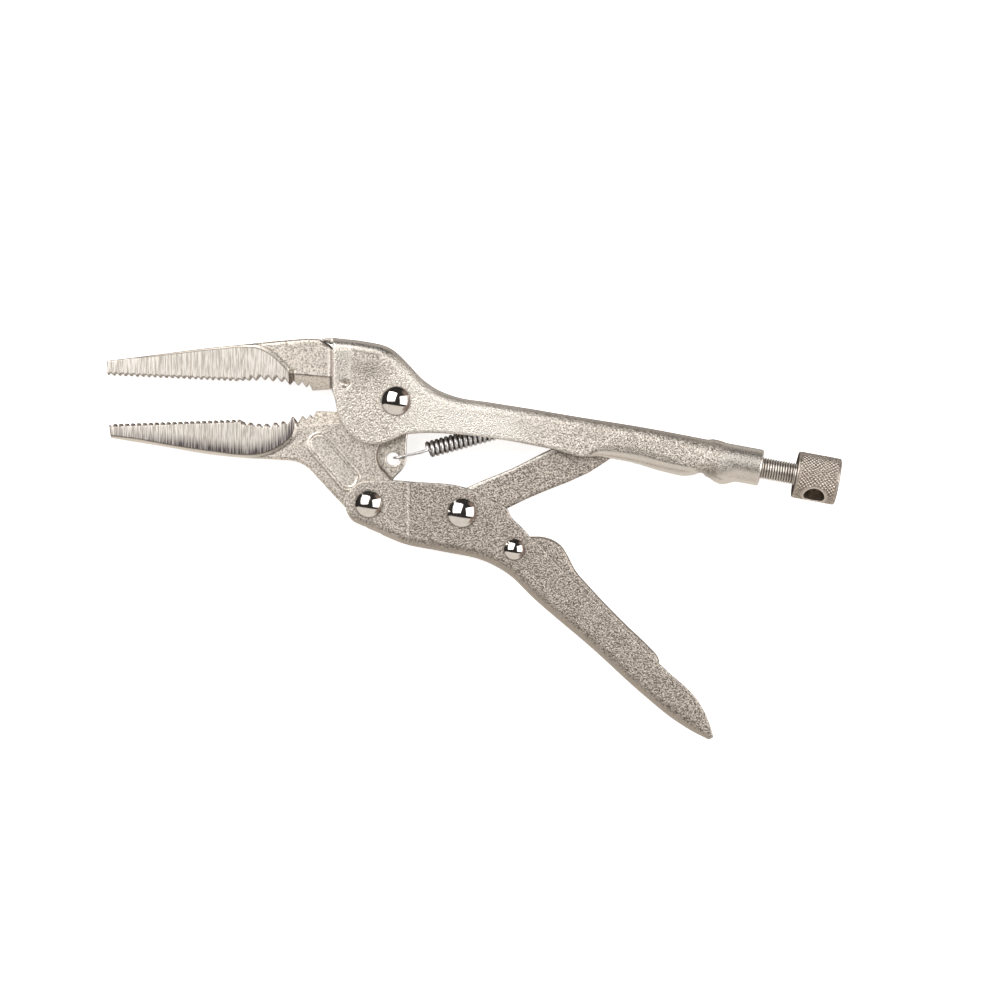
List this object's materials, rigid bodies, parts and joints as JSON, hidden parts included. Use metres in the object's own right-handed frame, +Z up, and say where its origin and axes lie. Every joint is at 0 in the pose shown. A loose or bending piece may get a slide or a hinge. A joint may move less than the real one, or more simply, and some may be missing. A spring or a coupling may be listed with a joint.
{
  "type": "locking pliers",
  "caption": "Long-nose locking pliers with serrated jaws and a wire cutter, over-centre toggle, release lever and knurled adjusting screw.",
  "frame": {"origin": "middle of the tool's footprint, on the surface that it lies on", "axes": "+X from the jaw tips to the tail, +Y from the lower handle to the upper handle, +Z up through the thickness"},
  "size_m": [0.1686, 0.0922, 0.0139],
  "materials": {
    "nickel_sheet": "grained nickel plate",
    "nickel_forging": "nickel plate over a blasted forging, ground jaw faces",
    "polished_rivet": "polished",
    "bright_steel": "machined",
    "spring_steel": "drawn wire"
  },
  "bodies": {
    "upper_body": {"upper_handle": "nickel_sheet", "upper_jaw": "nickel_forging", "main_rivet": "polished_rivet", "spring_anchor_pin": "bright_steel", "return_spring": "spring_steel"},
    "lower_jaw": {"lower_jaw": "nickel_forging"},
    "lower_handle": {"lower_handle": "nickel_sheet", "jaw_rivet": "polished_rivet", "toggle_rivet": "polished_rivet", "release_rivet": "polished_rivet"},
    "toggle_link": {"toggle_link": "nickel_forging"},
    "release_lever": {"release_lever": "nickel_sheet"},
    "tip_cap": {"screw_tip_cap": "bright_steel"},
    "screw": {"adjusting_screw": "bright_steel", "screw_knob": "nickel_forging"}
  },
  "joints": [
    {"name": "jaw_hinge", "type": "hinge", "parent": "upper_body", "child": "lower_jaw", "pos_m": [-0.01804, 0.03155, 0.00695], "axis": [0, 0, 1], "range_deg": [-8.4, 16.8], "deforming": ["return_spring"]},
    {"name": "handle_hinge", "type": "hinge", "parent": "lower_jaw", "child": "lower_handle", "pos_m": [-0.02424, 0.00795, 0.00695], "axis": [0, 0, 1], "range_deg": [-40, 20]},
    {"name": "toggle_hinge", "type": "hinge", "parent": "lower_handle", "child": "toggle_link", "pos_m": [-0.00295, 0.00595, 0.00695], "axis": [0, 0, 1], "range_deg": [-19.7, 39.4]},
    {"name": "release_hinge", "type": "hinge", "parent": "lower_handle", "child": "release_lever", "pos_m": [0.00906, -0.00245, 0.00695], "axis": [0, 0, 1], "range_deg": [-4, 0]},
    {"name": "screw_travel", "type": "slide", "parent": "upper_body", "child": "tip_cap", "axis": [0.9833, -0.1822, 0], "range_m": [0, 0.0078]},
    {"name": "screw_turn", "type": "hinge", "parent": "tip_cap", "child": "screw", "pos_m": [0.06215, 0.01698, 0.00695], "axis": [0.9833, -0.1822, 0], "range_deg": [0, 4680]}
  ],
  "couplings": [
    {"joint": "jaw_hinge", "follows": "handle_hinge", "ratio": -0.42},
    {"joint": "toggle_hinge", "follows": "handle_hinge", "ratio": -0.985},
    {"joint": "screw_turn", "follows": "screw_travel", "rad_per_m": 10472}
  ]
}
